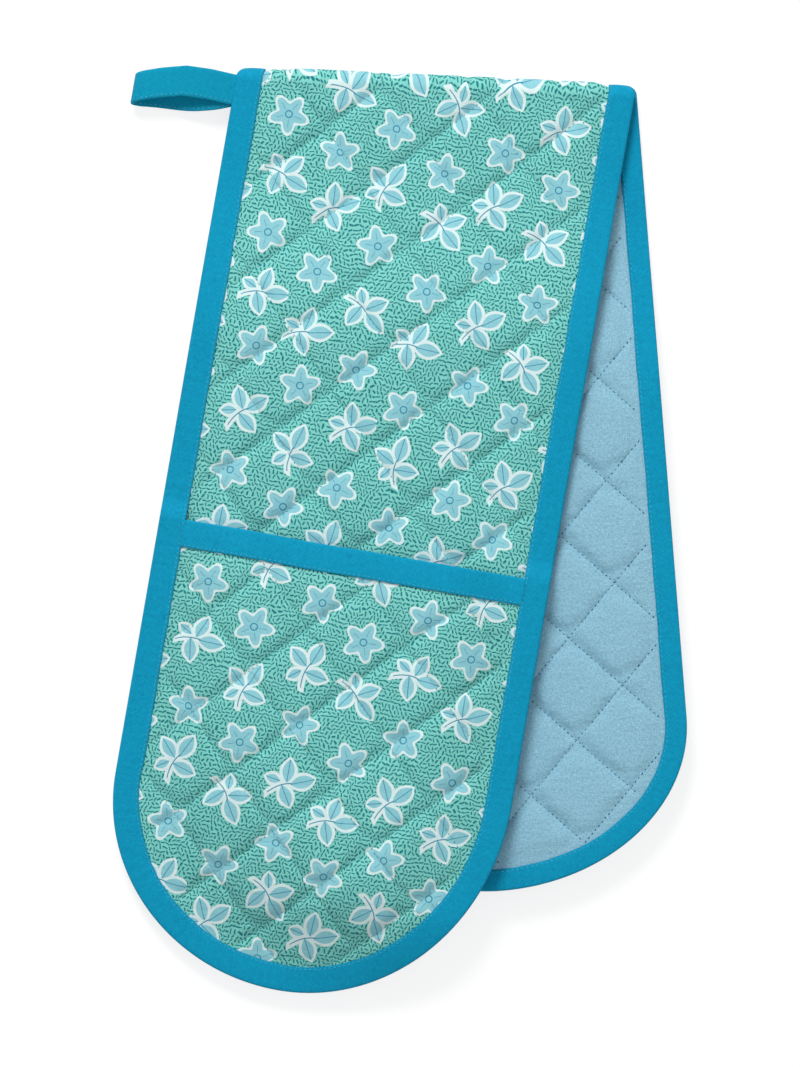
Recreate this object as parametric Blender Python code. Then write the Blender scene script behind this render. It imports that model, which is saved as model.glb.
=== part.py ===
"""Double oven glove: one long quilted strip, folded near its middle, with a hand pocket at each end.

It lies flat on a table, +Z up. The fold runs along X at the +Y end. The front half lies on top with its
printed side up, the rear half lies under it with its printed side down, and the two lean apart.
Every layer is laid out on the flat strip, in u across it and s along it (negative towards the front
tip, zero at the fold), and one function then puts it in its place and makes the bend.
"""

import math

import bmesh
import bpy
from mathutils import Vector
from mathutils.geometry import delaunay_2d_cdt

# The strip and its pockets
STRIP_WIDTH = 0.180
FRONT_LENGTH = 0.425
REAR_LENGTH = 0.374
POCKET_DEPTH = 0.204
HALF_LEAN = math.radians(7.2)
FRONT_TIP_LEFT = 0.085
FRONT_TIP_RIGHT = 0.100
REAR_TIP_LEFT = 0.090
REAR_TIP_RIGHT = 0.072

# The cloth, the wadding and the quilting
FABRIC = 0.0006
TAPE = 0.0007
WADDING_AT_STITCH = 0.0009
PUFF_RISE = 0.0017
PUFF_RUN = 0.0140
GAP = 0.0003
QUILT_ACROSS = 0.0230
QUILT_ALONG = 0.0236
FRONT_QUILT_AT = 0.1264
REAR_QUILT_AT = 0.2616
REAR_QUILT_SIDEWAYS = 0.0062
POCKET_QUILT_AT = 0.0150
POCKET_QUILT_SIDEWAYS = 0.0080

# The bound edges
LEG_PRINTED = 0.0110
LEG_PLAIN = 0.0090
BAND_LEG = 0.0115
RIM_FLAT = 0.0120
EDGE_ROUND = 0.0010
BOUND_STEP = 0.0100

# How the glove lies
FOLD_RADIUS = 0.0034
HAND_ROOM = 0.0046
FLAT_CUT = 0.0004
DOME_RUN = 0.0320
FRONT_RAMP_START = 0.0350
FRONT_RAMP_RUN = 0.0850
REAR_RAMP_START = 0.0550
REAR_RAMP_RUN = 0.0850
DROOP_MARGIN = 0.0120
DROOP_RUN = 0.0620
DROOP_CLEARANCE = 0.0004

# The hanging loop
LOOP_WIDTH = 0.0140
LOOP_TAPE = 0.0014
LOOP_REACH = 0.0460
LOOP_END_RADIUS = 0.0048
LOOP_SPREAD = 0.0045
LOOP_ARCH = 0.0016
LOOP_ROOT = 0.0044

# Mesh steps
SIDE_STEP = 0.0180
FOLD_STEPS = 8
TIP_STEPS = 9
LOOP_STEPS = 8
SAME_PLACE = 1e-6

# Shares of the puff that the bend leaves outside and inside it
FOLD_OUTER_SHARE = 0.8
FOLD_INNER_SHARE = 0.2

# Sizes that follow from the others
HALF_WIDTH = STRIP_WIDTH / 2
SIN_LEAN = math.sin(HALF_LEAN)
COS_LEAN = math.cos(HALF_LEAN)
FLAT_HALF = WADDING_AT_STITCH / 2 + GAP + FABRIC
FULL_HALF = FLAT_HALF + PUFF_RISE
BEND_HALF = math.pi * FOLD_RADIUS / 2
RIM_LIFT = 2 * FLAT_HALF + 2 * GAP + TAPE
POCKET_LIFT = 2 * FULL_HALF + HAND_ROOM
REAR_LOW = FULL_HALF - FLAT_CUT
REAR_HIGH = POCKET_LIFT + FULL_HALF - FLAT_CUT
HINGE_Z = REAR_LOW + FOLD_RADIUS
FRONT_LOW = HINGE_Z + FOLD_RADIUS
FRONT_HIGH = REAR_HIGH + 2 * FULL_HALF + GAP
DROOP_LOW = FULL_HALF + DROOP_CLEARANCE
FRONT_MOUTH = FRONT_LENGTH - POCKET_DEPTH
REAR_MOUTH = REAR_LENGTH - POCKET_DEPTH
BOUND = GAP + TAPE
SEAM_U = -(HALF_WIDTH + BOUND + GAP)
SEAM_S = (SEAM_U * SIN_LEAN - BEND_HALF - 2 * GAP) / COS_LEAN
SEAM_X = SEAM_U * COS_LEAN + SEAM_S * SIN_LEAN

# The middle of the whole glove's box, counted from the fold's middle
TIP_DOWN = math.hypot((FRONT_TIP_RIGHT + BOUND) * COS_LEAN, (HALF_WIDTH + BOUND) * SIN_LEAN)
LOW_END = (FRONT_LENGTH - FRONT_TIP_RIGHT) * COS_LEAN + TIP_DOWN - BEND_HALF
HIGH_END = FOLD_RADIUS + FLAT_HALF + FOLD_OUTER_SHARE * PUFF_RISE
HINGE_Y = (LOW_END - HIGH_END) / 2
TIP_OUT = math.hypot((HALF_WIDTH + BOUND) * COS_LEAN, (REAR_TIP_RIGHT + BOUND) * SIN_LEAN)
RIGHT_END = (REAR_LENGTH - REAR_TIP_RIGHT) * SIN_LEAN + TIP_OUT
LEFT_END = LOOP_REACH - SEAM_X + LOOP_WIDTH * SIN_LEAN / COS_LEAN
MIDDLE_X = (RIGHT_END - LEFT_END) / 2

COLOURS = {
    "print": ((0.21, 0.53, 0.52), 0.85),
    "lining": ((0.24, 0.47, 0.58), 0.88),
    "wadding": ((0.85, 0.85, 0.82), 0.95),
    "binding": ((0.006, 0.30, 0.47), 0.80),
}


def ease(share):
    """A smooth step from 0 to 1 as the share goes from 0 to 1."""
    share = min(max(share, 0.0), 1.0)
    return share * share * (3 - 2 * share)


def material(name):
    """The Principled material of one kind of cloth."""
    found = bpy.data.materials.get(name)
    if found:
        return found
    colour, roughness = COLOURS[name]
    made = bpy.data.materials.new(name)
    made.use_nodes = True
    shader = made.node_tree.nodes["Principled BSDF"]
    shader.inputs["Base Color"].default_value = (*colour, 1.0)
    shader.inputs["Roughness"].default_value = roughness
    shader.inputs["Metallic"].default_value = 0.0
    return made


def past_fold(u, s):
    """How far a point of the flat strip lies past the fold line, negative on the front half."""
    return s * COS_LEAN - u * SIN_LEAN


def on_cut(u, past):
    """The place along the strip's line u that lies the given distance past the fold line."""
    return (past + u * SIN_LEAN) / COS_LEAN


def half_sizes(sign):
    """The length of one half and the reaches of its rounded tip, left and right."""
    if sign < 0:
        return FRONT_LENGTH, FRONT_TIP_LEFT, FRONT_TIP_RIGHT
    return REAR_LENGTH, REAR_TIP_LEFT, REAR_TIP_RIGHT


def from_rim(u, s):
    """The distance in from the strip's outline, negative outside it."""
    length, left, right = half_sizes(s)
    reach = left if u < 0 else right
    along = abs(s) - (length - reach)
    if along <= 0:
        return HALF_WIDTH - abs(u)
    ring = math.hypot(u / HALF_WIDTH, along / reach)
    return math.hypot(u, along) * (1 / ring - 1)


def squares(u, along, sideways, start):
    """The quilted squares: 0 on a stitched line, 1 in the middle of a square."""
    across = (u - sideways) / QUILT_ACROSS
    along = (along - start) / QUILT_ALONG
    one = abs(2 * (((across + along) / 2) % 1) - 1)
    other = abs(2 * (((across - along) / 2) % 1) - 1)
    return 1 - max(one, other)


def strip_puff(u, s, share):
    """How far the strip swells past its thickness at the stitches; the share is what the bend leaves."""
    out = abs(past_fold(u, s)) - BEND_HALF
    rim = ease((from_rim(u, s) - RIM_FLAT) / PUFF_RUN)
    bend = share + (1 - share) * ease(out / PUFF_RUN)
    if past_fold(u, s) > BEND_HALF:
        quilt = squares(u, s, -REAR_QUILT_SIDEWAYS, REAR_QUILT_AT)
    else:
        quilt = squares(u, -s, 0, FRONT_QUILT_AT)
    return PUFF_RISE * rim * bend * quilt


def puff_outside(u, s):
    """The strip's swelling on its printed side."""
    return strip_puff(u, s, FOLD_OUTER_SHARE)


def puff_inside(u, s):
    """The strip's swelling on its plain side."""
    return strip_puff(u, s, FOLD_INNER_SHARE)


def pocket_puff(u, s):
    """The swelling of a pocket's panel, which is also flat along its mouth."""
    below = abs(s) - half_sizes(s)[0] + POCKET_DEPTH
    rim = ease((from_rim(u, s) - RIM_FLAT) / PUFF_RUN)
    lip = ease((below - RIM_FLAT) / PUFF_RUN)
    return PUFF_RISE * rim * lip * squares(u, below, POCKET_QUILT_SIDEWAYS, POCKET_QUILT_AT)


def pocket_level(u, s):
    """The height of a pocket's middle layer over the strip's: low at the rim, full over the hand."""
    dome = ease((from_rim(u, s) - RIM_FLAT) / DOME_RUN)
    return RIM_LIFT + (POCKET_LIFT - RIM_LIFT) * dome


def strip_level(u, s):
    """The strip's middle layer is where heights are counted from."""
    return 0.0


def outside_rear(x, out):
    """How far a place on the table, the given distance out from the hinge, lies outside the rear half."""
    past = out + BEND_HALF
    u = x * COS_LEAN - past * SIN_LEAN
    s = x * SIN_LEAN + past * COS_LEAN
    return -from_rim(u, max(s, SAME_PLACE))


def place(u, s, height):
    """A point of the flat strip in space; height counts from its middle layer to the printed side."""
    x = u * COS_LEAN + s * SIN_LEAN
    past = past_fold(u, s)
    if past < -BEND_HALF:
        out = -past - BEND_HALF
        rise = ease((out - FRONT_RAMP_START) / FRONT_RAMP_RUN)
        level = FRONT_LOW + (FRONT_HIGH - FRONT_LOW) * rise
        hang = ease((outside_rear(x, out) - DROOP_MARGIN) / DROOP_RUN)
        level -= (level - DROOP_LOW) * hang
        return Vector((x - MIDDLE_X, HINGE_Y - out, level + height))
    if past > BEND_HALF:
        out = past - BEND_HALF
        rise = ease((out - REAR_RAMP_START) / REAR_RAMP_RUN)
        level = REAR_LOW + (REAR_HIGH - REAR_LOW) * rise
        return Vector((x - MIDDLE_X, HINGE_Y - out, level - height))
    turn = past / FOLD_RADIUS
    radius = FOLD_RADIUS + height
    return Vector((x - MIDDLE_X, HINGE_Y + radius * math.cos(turn), HINGE_Z - radius * math.sin(turn)))


def pivot(name, place_at):
    """An empty on a joint's axis, which the moving pieces are parented to."""
    made = bpy.data.objects.new(name, None)
    made.location = place_at
    bpy.context.scene.collection.objects.link(made)
    return made


def cut_flat(body):
    """Cuts the body flat where it would reach below the table."""
    whole = list(body.verts) + list(body.edges) + list(body.faces)
    bmesh.ops.bisect_plane(body, geom=whole, dist=SAME_PLACE, plane_co=(0, 0, 0), plane_no=(0, 0, 1))
    for corner in body.verts:
        corner.co.z = max(corner.co.z, 0.0)


def make_object(name, points, faces, kind, parent):
    """Makes one closed body of cloth, turned outwards, on its parent if it moves."""
    body = bmesh.new()
    corners = [body.verts.new(point) for point in points]
    for face in faces:
        body.faces.new([corners[i] for i in face])
    bmesh.ops.recalc_face_normals(body, faces=body.faces)
    if body.calc_volume(signed=True) < 0:
        bmesh.ops.reverse_faces(body, faces=body.faces)
    cut_flat(body)
    if parent:
        bmesh.ops.translate(body, verts=body.verts, vec=-parent.location)
    mesh = bpy.data.meshes.new(name)
    body.to_mesh(mesh)
    body.free()
    mesh.shade_smooth()
    mesh.set_sharp_from_angle(angle=math.radians(50))
    mesh.materials.append(material(kind))
    made = bpy.data.objects.new(name, mesh)
    made.parent = parent
    bpy.context.scene.collection.objects.link(made)
    return made


def sheet(name, panel, low, high, kind, parent):
    """A layer of cloth or wadding between two heights over the flat strip."""
    flat, triangles, rim = panel
    count = len(flat)
    points = [place(u, s, low(u, s)) for u, s in flat] + [place(u, s, high(u, s)) for u, s in flat]
    faces = list(triangles)
    faces += [(c + count, b + count, a + count) for a, b, c in triangles]
    for a, b in zip(rim, rim[1:] + rim[:1]):
        faces += [(b, a, a + count), (b, a + count, b + count)]
    return make_object(name, points, faces, kind, parent)


def quilted(prefix, panel, level, printed_puff, plain_puff, parent):
    """The three layers that are stitched together: printed cover, wadding and plain lining."""
    thick = WADDING_AT_STITCH / 2

    def over(extra):
        return lambda u, s: level(u, s) + thick + printed_puff(u, s) + extra

    def under(extra):
        return lambda u, s: level(u, s) - thick - plain_puff(u, s) - extra

    sheet(prefix + "outer_cover", panel, over(GAP), over(GAP + FABRIC), "print", parent)
    sheet(prefix + "wadding", panel, under(0), over(0), "wadding", parent)
    sheet(prefix + "lining", panel, under(GAP + FABRIC), under(GAP), "lining", parent)


def side_stations(side, sign, stops):
    """Down one side from the cut at the fold, through each of the stops: each point and its way in."""
    slant = side * SIN_LEAN / COS_LEAN
    start = sign * on_cut(side * HALF_WIDTH, sign * (BEND_HALF + GAP / 2))
    stations = [(side * HALF_WIDTH, sign * start, -side, -slant)]
    for begin, end in zip([start] + stops, stops):
        count = max(1, round((end - begin) / SIDE_STEP))
        for step in range(1, count + 1):
            along = begin + (end - begin) * step / count
            stations.append((side * HALF_WIDTH, sign * along, -side, 0.0))
    return stations


def tip_stations(side, sign, length, reach):
    """Round one quarter of the tip, from the side to the middle: each point and its way in."""
    stations = []
    for step in range(1, TIP_STEPS + 1):
        turn = math.radians(90) * step / TIP_STEPS
        across = side * math.cos(turn)
        along = math.sin(turn)
        inward = Vector((-across * reach, -along * HALF_WIDTH)).normalized()
        at = (across * HALF_WIDTH, sign * (length - reach + along * reach))
        stations.append((*at, inward.x, sign * inward.y))
    return stations


def outline(sign):
    """The stations round one half, from its cut on the left, round the tip, to its cut on the right."""
    length, left, right = half_sizes(sign)
    mouth = length - POCKET_DEPTH
    both = []
    for side, reach in ((-1, left), (1, right)):
        stops = [mouth - BOUND_STEP, mouth - 2 * GAP, mouth, length - reach]
        both.append(side_stations(side, sign, stops) + tip_stations(side, sign, length, reach))
    return both[0] + both[1][-2::-1]


def inner(station, offset):
    """The point that lies the offset in from a station of the outline."""
    u, s, across, along = station
    return u + across * offset, s + along * offset


def columns():
    """The places across the strip of the corners along its cut ends and the pockets' mouths."""
    reach = HALF_WIDTH - RIM_FLAT
    count = round(2 * reach / QUILT_ACROSS)
    return [reach * (1 - 2 * i / count) for i in range(count + 1)]


def quilt_points(sideways, start, length, keep):
    """The crossings and middles of the quilted squares that a panel keeps, by column and row."""
    found = {}
    for column in range(-math.ceil(STRIP_WIDTH / QUILT_ACROSS), math.ceil(STRIP_WIDTH / QUILT_ACROSS)):
        for row in range(-math.ceil(length / QUILT_ALONG), math.ceil(length / QUILT_ALONG)):
            point = (sideways + column * QUILT_ACROSS, start + row * QUILT_ALONG)
            if keep(*point):
                found[column, row] = point
    return found


def fill(rim, bank, ties, quilt, sign):
    """Triangles inside the outline, with the bank, its ties and the stitched lines among their edges."""
    points = [Vector(point) for point in rim + bank]
    edges = [(i, (i + 1) % len(rim)) for i in range(len(rim))] + ties
    numbers = {}
    for key, (u, along) in quilt.items():
        numbers[key] = len(points)
        points.append(Vector((u, sign * along)))
    for (column, row), number in numbers.items():
        for step in (-1, 1):
            other = numbers.get((column + step, row + 1))
            if (column + row) % 2 == 0 and other:
                edges.append((number, other))
    found = delaunay_2d_cdt(points, edges, [tuple(range(len(rim)))], 1, SAME_PLACE, True)
    number = {old: new for new, olds in enumerate(found[3]) for old in olds}
    flat = [(point.x, point.y) for point in found[0]]
    order = [number[i] for i in range(len(rim))]
    return flat, [tuple(face) for face in found[2] if within(face, flat, order)], order


def within(face, flat, order):
    """Whether a triangle's middle lies inside the outline."""
    x = sum(flat[i][0] for i in face) / len(face)
    y = sum(flat[i][1] for i in face) / len(face)
    inside = False
    for i, j in zip(order, order[1:] + order[:1]):
        (ax, ay), (bx, by) = flat[i], flat[j]
        if (ay > y) != (by > y) and x < ax + (bx - ax) * (y - ay) / (by - ay):
            inside = not inside
    return inside


def spaced(points):
    """A test that a place keeps its distance from each of the points."""
    return lambda u, s: min(math.hypot(u - a, s - b) for a, b in points) > QUILT_ACROSS / 3


def strip_panel(sign):
    """One half of the flat strip, from its cut by the fold to its tip."""
    stations = outline(sign)
    end = [(u, on_cut(u, sign * (BEND_HALF + GAP / 2))) for u in columns()]
    rim = [station[:2] for station in stations] + end
    bank = [inner(station, RIM_FLAT) for station in stations[1:-1]]
    first = len(rim)
    ties = [(i + 1, first + i) for i in range(len(bank))]
    ties += [(i, first + i) for i in range(len(bank))]
    ties += [(first + i, first + i + 1) for i in range(len(bank) - 1)]
    ties += [(first - 1, first), (len(stations), first + len(bank) - 1)]
    free = spaced(bank + end)
    least = BEND_HALF + QUILT_ACROSS / 4

    def keep(u, along):
        s = sign * along
        return sign * past_fold(u, s) > least and from_rim(u, s) > RIM_FLAT and free(u, s)

    if sign < 0:
        quilt = quilt_points(0.0, FRONT_QUILT_AT, FRONT_LENGTH, keep)
    else:
        quilt = quilt_points(-REAR_QUILT_SIDEWAYS, REAR_QUILT_AT, REAR_LENGTH, keep)
    return fill(rim, bank, ties, quilt, sign)


def pocket_panel(sign):
    """A pocket's flat panel, from its mouth to the tip."""
    length = half_sizes(sign)[0]
    mouth = length - POCKET_DEPTH
    stations = [station for station in outline(sign) if abs(station[1]) > mouth - GAP]
    lip = [(u, sign * mouth) for u in columns()]
    row = [(u, sign * (mouth + RIM_FLAT)) for u in columns()]
    rim = [station[:2] for station in stations] + lip
    bank = [inner(station, RIM_FLAT) for station in stations[1:-1]] + row
    first = len(rim)
    sides = len(stations) - 2
    ties = [(i + 1, first + i) for i in range(sides)]
    ties += [(i, first + i) for i in range(1, sides)]
    ties += [(len(stations) + i, first + sides + i) for i in range(len(row))]
    ties += [(first + i, first + (i + 1) % len(bank)) for i in range(len(bank))]
    free = spaced(bank)

    def keep(u, along):
        return along > mouth + RIM_FLAT and from_rim(u, sign * along) > RIM_FLAT and free(u, sign * along)

    quilt = quilt_points(POCKET_QUILT_SIDEWAYS, mouth + POCKET_QUILT_AT, length, keep)
    return fill(rim, bank, ties, quilt, sign)


def fold_panel():
    """The stretch of the strip that bends, in even steps round the bend."""
    across = [HALF_WIDTH] + columns() + [-HALF_WIDTH]
    reach = BEND_HALF - GAP / 2
    flat = []
    for step in range(FOLD_STEPS + 1):
        past = reach * (2 * step / FOLD_STEPS - 1)
        flat += [(u, on_cut(u, past)) for u in across]
    wide = len(across)
    triangles = []
    for step in range(FOLD_STEPS):
        for i in range(wide - 1):
            a = step * wide + i
            triangles += [(a, a + 1, a + wide), (a + 1, a + wide + 1, a + wide)]
    last = wide * FOLD_STEPS
    rim = list(range(wide)) + [wide * step + wide - 1 for step in range(1, FOLD_STEPS)]
    rim += list(range(last + wide - 1, last - 1, -1))
    rim += [wide * step for step in range(FOLD_STEPS - 1, 0, -1)]
    return flat, triangles, rim


def tape_profile(top, bottom, leg_up, leg_down):
    """The section of a folded tape round an edge: places in from the edge, and heights."""
    high = top + TAPE
    low = -bottom - TAPE
    return [
        (leg_up, high),
        (EDGE_ROUND - BOUND, high),
        (-BOUND, high - EDGE_ROUND),
        (-BOUND, low + EDGE_ROUND),
        (EDGE_ROUND - BOUND, low),
        (leg_down, low),
        (leg_down, -bottom),
        (-GAP, -bottom),
        (-GAP, top),
        (leg_up, top),
    ]


def sweep(name, rings, caps, kind, parent, turned=()):
    """Joins rings of points into one body, closed by the given faces at both ends."""
    size = len(rings[0])
    points = [point for ring in rings for point in ring]
    faces = []
    for step in range(len(rings) - 1):
        for i in range(size):
            a = step * size + i
            b = step * size + (i + 1) % size
            if i in turned:
                faces += [(a, b, a + size), (b, b + size, a + size)]
            else:
                faces += [(a, b, b + size), (a, b + size, a + size)]
    last = size * (len(rings) - 1)
    faces += [tuple(reversed(cap)) for cap in caps]
    faces += [tuple(i + last for i in cap) for cap in caps]
    return make_object(name, points, faces, kind, parent)


# The faces of a tape's cut ends, and the sides of its section that run outwards, whose triangles are
# turned so that they follow those of the cloth below them
TAPE_CAPS = [(0, 1, 8), (0, 8, 9), (1, 2, 8), (2, 3, 7), (2, 7, 8), (3, 4, 7), (4, 5, 7), (5, 6, 7)]
TAPE_OUTWARD = (0, 1, 6)


def edge_binding(name, stations, mouth, parent):
    """The tape round an edge, which grips the pocket's rim too where there is one."""
    rings = []
    for station in stations:
        top = FLAT_HALF + GAP
        if abs(station[1]) > mouth - 3 * GAP:
            top += RIM_LIFT
        section = tape_profile(top, FLAT_HALF + GAP, LEG_PRINTED, LEG_PLAIN)
        rings.append([place(*inner(station, offset), height) for offset, height in section])
    return sweep(name, rings, TAPE_CAPS, "binding", parent, TAPE_OUTWARD)


def mouth_binding(name, sign, parent):
    """The tape along a pocket's mouth, between the two sides' bindings."""
    mouth = half_sizes(sign)[0] - POCKET_DEPTH
    end = HALF_WIDTH - LEG_PRINTED - GAP
    section = tape_profile(FLAT_HALF + GAP, FLAT_HALF + GAP, BAND_LEG, LEG_PLAIN)
    rings = []
    for u in [end] + columns() + [-end]:
        level = pocket_level(u, sign * mouth)
        rings.append([place(u, sign * (mouth + offset), level + height) for offset, height in section])
    return sweep(name, rings, TAPE_CAPS, "binding", parent)


def fold_stations(side):
    """The stations of one edge round the bend, with the way in along the fold line."""
    reach = BEND_HALF - GAP / 2
    u = side * HALF_WIDTH
    slant = side * SIN_LEAN / COS_LEAN
    steps = [reach * (2 * step / FOLD_STEPS - 1) for step in range(FOLD_STEPS + 1)]
    return [(u, on_cut(u, past), -side, -slant) for past in steps]


def loop_line():
    """The line of the loop's tape, as places out from its seam and heights over the seam."""
    centre_out = LOOP_REACH - LOOP_TAPE / 2 - LOOP_END_RADIUS
    centre_up = LOOP_TAPE / 2 + LOOP_END_RADIUS - FRONT_LOW
    root = (LOOP_TAPE + GAP) / 2
    start = LOOP_ROOT + GAP
    shares = [step / LOOP_STEPS for step in range(LOOP_STEPS)]
    line = []
    for share in shares:
        rise = root + (centre_up + LOOP_END_RADIUS - root) * ease(share)
        out = start + (centre_out - start) * share
        line.append((out, rise + LOOP_ARCH * math.sin(math.pi * share)))
    for step in range(LOOP_STEPS + 1):
        turn = math.pi * (step / LOOP_STEPS - 1 / 2)
        out = centre_out + LOOP_END_RADIUS * math.cos(turn)
        line.append((out, centre_up - LOOP_END_RADIUS * math.sin(turn)))
    for share in reversed(shares):
        out = start + (centre_out - start) * share
        line.append((out, (centre_up - LOOP_END_RADIUS + root) * ease(share) - root))
    return line


def beside_seam(out, across, up):
    """A point of the loop: out from its seam, across its tape and up from the seam's middle."""
    x = SEAM_X - out - across * SIN_LEAN / COS_LEAN
    return Vector((x - MIDDLE_X, HINGE_Y - 2 * GAP - across, FRONT_LOW + up))


def loop_root(parent):
    """The loop's sewn end, both legs together, which bends when the loop swings."""
    half = LOOP_TAPE + GAP / 2
    corners = ((0, half), (0, -half), (LOOP_WIDTH, -half), (LOOP_WIDTH, half))
    rings = [[beside_seam(out, across, up) for across, up in corners] for out in (0, LOOP_ROOT)]
    return sweep("loop_root", rings, [(0, 1, 2), (0, 2, 3)], "binding", parent)


def hanging_loop(parent):
    """The folded tape that the glove hangs by, from its sewn end out and back."""
    line = loop_line()
    rings = []
    for i, (out, up) in enumerate(line):
        before = line[max(i - 1, 0)]
        after = line[min(i + 1, len(line) - 1)]
        way = Vector((after[0] - before[0], after[1] - before[1])).normalized() * LOOP_TAPE / 2
        spread = LOOP_SPREAD * ease(2 * i / len(line) - 1) * math.sin(math.pi * out / LOOP_REACH)
        ring = []
        for across, side in ((0, 1), (0, -1), (LOOP_WIDTH, -1), (LOOP_WIDTH, 1)):
            point = beside_seam(out - side * way.y, across, up + side * way.x)
            ring.append(point - Vector((0, spread, 0)))
        rings.append(ring)
    return sweep("hanging_loop", rings, [(0, 1, 2), (0, 2, 3)], "binding", parent)


def main():
    """Clears the scene and builds the glove."""
    for old in list(bpy.data.objects):
        bpy.data.objects.remove(old, do_unlink=True)
    hinge = pivot("fold_hinge", (0, HINGE_Y, HINGE_Z))
    seam = pivot("loop_seam", beside_seam(LOOP_ROOT / 2, 0, 0))
    for sign, name, mouth, parent in ((-1, "front_", FRONT_MOUTH, hinge), (1, "rear_", REAR_MOUTH, None)):
        quilted(name, strip_panel(sign), strip_level, puff_outside, puff_inside, parent)
        quilted(name + "pocket_", pocket_panel(sign), pocket_level, pocket_puff, pocket_puff, parent)
        edge_binding(name + "edge_binding", outline(sign), mouth, parent)
        mouth_binding(name + "pocket_mouth_binding", sign, parent)
    quilted("fold_", fold_panel(), strip_level, puff_outside, puff_inside, None)
    edge_binding("fold_binding_left", fold_stations(-1), FRONT_MOUTH, None)
    edge_binding("fold_binding_right", fold_stations(1), FRONT_MOUTH, None)
    loop_root(hinge)
    hanging_loop(seam)


main()
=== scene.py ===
"""Double oven glove: the quilted cloth, bindings, loop and stitching over the CAD frame."""

import math

import bmesh
import bpy
import numpy as np
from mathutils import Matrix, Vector, noise


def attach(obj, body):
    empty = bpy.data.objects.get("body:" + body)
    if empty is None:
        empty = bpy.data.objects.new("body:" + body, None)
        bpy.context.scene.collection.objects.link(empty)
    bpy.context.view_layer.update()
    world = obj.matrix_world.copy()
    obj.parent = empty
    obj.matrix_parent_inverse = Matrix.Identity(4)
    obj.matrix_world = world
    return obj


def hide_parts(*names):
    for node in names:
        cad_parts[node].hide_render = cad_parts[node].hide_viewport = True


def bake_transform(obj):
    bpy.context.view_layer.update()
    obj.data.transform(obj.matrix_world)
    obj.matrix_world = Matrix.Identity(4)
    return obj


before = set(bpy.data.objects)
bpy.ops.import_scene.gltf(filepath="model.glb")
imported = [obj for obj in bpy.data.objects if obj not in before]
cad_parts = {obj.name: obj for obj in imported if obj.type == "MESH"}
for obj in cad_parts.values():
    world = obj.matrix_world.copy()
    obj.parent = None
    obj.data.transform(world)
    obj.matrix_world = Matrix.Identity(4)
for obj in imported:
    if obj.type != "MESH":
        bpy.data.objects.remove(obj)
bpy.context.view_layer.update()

# The flat strip and how it lies, in metres, as in the CAD model
STRIP_WIDTH = 0.180
FRONT_LENGTH = 0.425
REAR_LENGTH = 0.374
POCKET_DEPTH = 0.204
HALF_LEAN = math.radians(7.2)
FRONT_TIP_LEFT = 0.085
FRONT_TIP_RIGHT = 0.100
REAR_TIP_LEFT = 0.090
REAR_TIP_RIGHT = 0.072
FLAT_HALF = 0.00135
PUFF_RISE = 0.0017
QUILT_ACROSS = 0.0230
QUILT_ALONG = 0.0236
FRONT_QUILT_AT = 0.1264
REAR_QUILT_SIDEWAYS = 0.0062
POCKET_QUILT_AT = 0.0150
POCKET_QUILT_SIDEWAYS = 0.0080
LEG_PRINTED = 0.0110
LEG_PLAIN = 0.0090
BAND_LEG = 0.0115
RIM_FLAT = 0.0120
TAPE = 0.0007
GAP = 0.0003
FOLD_RADIUS = 0.0034
HAND_ROOM = 0.0046
FLAT_CUT = 0.0004
DOME_RUN = 0.0320
FRONT_RAMP_START = 0.0350
FRONT_RAMP_RUN = 0.0850
REAR_RAMP_START = 0.0550
REAR_RAMP_RUN = 0.0850
DROOP_MARGIN = 0.0120
DROOP_RUN = 0.0620
DROOP_CLEARANCE = 0.0004
LOOP_WIDTH = 0.0140
LOOP_TAPE = 0.0014
LOOP_REACH = 0.0460
LOOP_END_RADIUS = 0.0048
LOOP_SPREAD = 0.0045
LOOP_ARCH = 0.0016

HALF_WIDTH = STRIP_WIDTH / 2
SIN_LEAN = math.sin(HALF_LEAN)
COS_LEAN = math.cos(HALF_LEAN)
FULL_HALF = FLAT_HALF + PUFF_RISE
BEND_HALF = math.pi * FOLD_RADIUS / 2
RIM_LIFT = 2 * FLAT_HALF + 2 * GAP + TAPE
POCKET_LIFT = 2 * FULL_HALF + HAND_ROOM
REAR_LOW = FULL_HALF - FLAT_CUT
REAR_HIGH = POCKET_LIFT + FULL_HALF - FLAT_CUT
HINGE_Y = 0.205918
HINGE_Z = REAR_LOW + FOLD_RADIUS
FRONT_LOW = HINGE_Z + FOLD_RADIUS
FRONT_HIGH = REAR_HIGH + 2 * FULL_HALF + GAP
DROOP_LOW = FULL_HALF + DROOP_CLEARANCE
FRONT_MOUTH = FRONT_LENGTH - POCKET_DEPTH
REAR_MOUTH = REAR_LENGTH - POCKET_DEPTH
BOUND = GAP + TAPE
SEAM_U = -(HALF_WIDTH + BOUND + GAP)
SEAM_S = (SEAM_U * SIN_LEAN - BEND_HALF - 2 * GAP) / COS_LEAN
SEAM_X = SEAM_U * COS_LEAN + SEAM_S * SIN_LEAN
MIDDLE_X = -0.0059746

# The quilted squares: how full they are, and how they flatten out by the tapes and at the fold
START_RISE = 0.7
WEAK_SHARE = 0.4
BULGE_SPREAD = 2.2
BULGE_ROUND = 0.62
FLAT_BY_TAPE = 0.0100
TAPE_RISE_RUN = 0.0095
FLAT_BY_MOUTH = 0.0105
MOUTH_RISE_RUN = 0.0090
OUTER_SHARE = 0.55
OUTER_RISE_RUN = 0.014
INNER_RISE_RUN = 0.025
SINK = 0.0009
TIGHT_GROOVE = 0.15
SLACK_GROOVE = 0.10
SLACK_SINK = 0.5
MOST_SHIFT = 0.0012
QUILT_INSET = 0.0012
CUT_OVERLAP = 0.012

# The fold: its rounded corners, and what stands out or is drawn back
CORNER_ROUND = 0.0034
CORNER_REACH = 0.016
FOLD_FILL = 0.0011
FOLD_FILL_REACH = 0.0100
FOLD_TUCK = 0.0007
TABLE_GAP = 0.0001

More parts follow.
